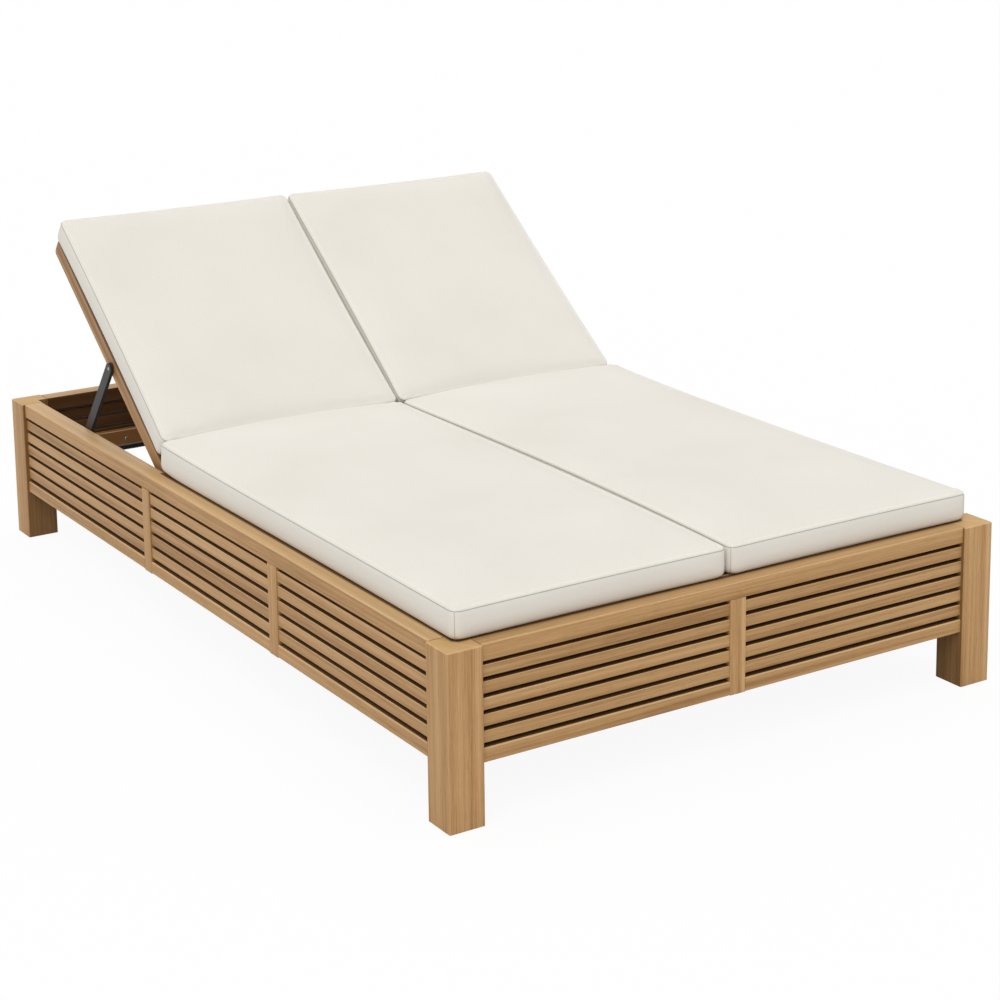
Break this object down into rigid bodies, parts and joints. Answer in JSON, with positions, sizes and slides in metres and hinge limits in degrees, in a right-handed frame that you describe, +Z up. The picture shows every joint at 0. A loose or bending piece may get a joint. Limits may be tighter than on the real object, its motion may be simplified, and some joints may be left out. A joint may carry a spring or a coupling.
{
  "type": "double_chaise_lounger",
  "caption": "Double chaise lounger: slatted oiled-wood frame on square posts, side-by-side seat cushions and reclining cushioned backs, each held up by a steel prop on notched racks.",
  "frame": {"origin": "on the floor in the middle of the timber frame's footprint", "axes": "+X across the lounger, +Y from the foot end towards the head end, where the backs rise, +Z up"},
  "size_m": [1.3, 2.085, 0.8251],
  "materials": {
    "oiled_wood": "oiled teak-like hardwood, matt",
    "cushion_cloth": "off-white woven outdoor cloth over foam",
    "prop_steel": "charcoal powder coat",
    "bolt_steel": "stainless steel",
    "glide_plastic": "black plastic"
  },
  "bodies": {
    "base": {"deck_slats": "oiled_wood", "foot_bottom_rails": "oiled_wood", "foot_ledger": "oiled_wood", "foot_panel_slats": "oiled_wood", "foot_stile": "oiled_wood", "foot_top_rail": "oiled_wood", "head_beam": "oiled_wood", "head_bottom_rails": "oiled_wood", "head_ledger": "oiled_wood", "head_panel_slats": "oiled_wood", "head_stile": "oiled_wood", "head_top_rail": "oiled_wood", "hinge_beam": "oiled_wood", "left_back_pivots": "bolt_steel", "left_bottom_rails": "oiled_wood", "left_deck_ledger": "oiled_wood", "left_foot_bay_slats": "oiled_wood", "left_foot_leg": "oiled_wood", "left_head_bay_slats": "oiled_wood", "left_head_leg": "oiled_wood", "left_middle_bay_slats": "oiled_wood", "left_racks": "oiled_wood", "left_seat_cushion": "cushion_cloth", "left_side_stiles": "oiled_wood", "left_top_rail": "oiled_wood", "leg_glides": "glide_plastic", "rest_blocks": "oiled_wood", "right_back_pivots": "bolt_steel", "right_bottom_rails": "oiled_wood", "right_deck_ledger": "oiled_wood", "right_foot_bay_slats": "oiled_wood", "right_foot_leg": "oiled_wood", "right_head_bay_slats": "oiled_wood", "right_head_leg": "oiled_wood", "right_middle_bay_slats": "oiled_wood", "right_racks": "oiled_wood", "right_seat_cushion": "cushion_cloth", "right_side_stiles": "oiled_wood", "right_top_rail": "oiled_wood", "seat_beam": "oiled_wood"},
    "back_left": {"left_back_cushion": "cushion_cloth", "left_back_foot_rail": "oiled_wood", "left_back_head_rail": "oiled_wood", "left_back_inner_rail": "oiled_wood", "left_back_outer_rail": "oiled_wood", "left_back_slats": "oiled_wood", "left_prop_pivots": "bolt_steel"},
    "back_right": {"right_back_cushion": "cushion_cloth", "right_back_foot_rail": "oiled_wood", "right_back_head_rail": "oiled_wood", "right_back_inner_rail": "oiled_wood", "right_back_outer_rail": "oiled_wood", "right_back_slats": "oiled_wood", "right_prop_pivots": "bolt_steel"},
    "prop_left": {"left_prop_arms": "prop_steel", "left_prop_bar": "prop_steel"},
    "prop_right": {"right_prop_arms": "prop_steel", "right_prop_bar": "prop_steel"}
  },
  "joints": [
    {"name": "left_back_hinge", "type": "hinge", "parent": "base", "child": "back_left", "pos_m": [-0.312, 0.25, 0.318], "axis": [1, 0, 0], "range_deg": [-37, 1]},
    {"name": "left_prop_hinge", "type": "hinge", "parent": "back_left", "child": "prop_left", "pos_m": [-0.312, 0.53855, 0.51666], "axis": [1, 0, 0], "range_deg": [-3, 85]},
    {"name": "right_back_hinge", "type": "hinge", "parent": "base", "child": "back_right", "pos_m": [0.312, 0.25, 0.318], "axis": [1, 0, 0], "range_deg": [-37, 1]},
    {"name": "right_prop_hinge", "type": "hinge", "parent": "back_right", "child": "prop_right", "pos_m": [0.312, 0.53855, 0.51666], "axis": [1, 0, 0], "range_deg": [-3, 85]}
  ],
  "couplings": [
    {"joint": "left_prop_hinge", "follows": "left_back_hinge", "ratio": -2.28},
    {"joint": "right_prop_hinge", "follows": "right_back_hinge", "ratio": -2.28}
  ]
}
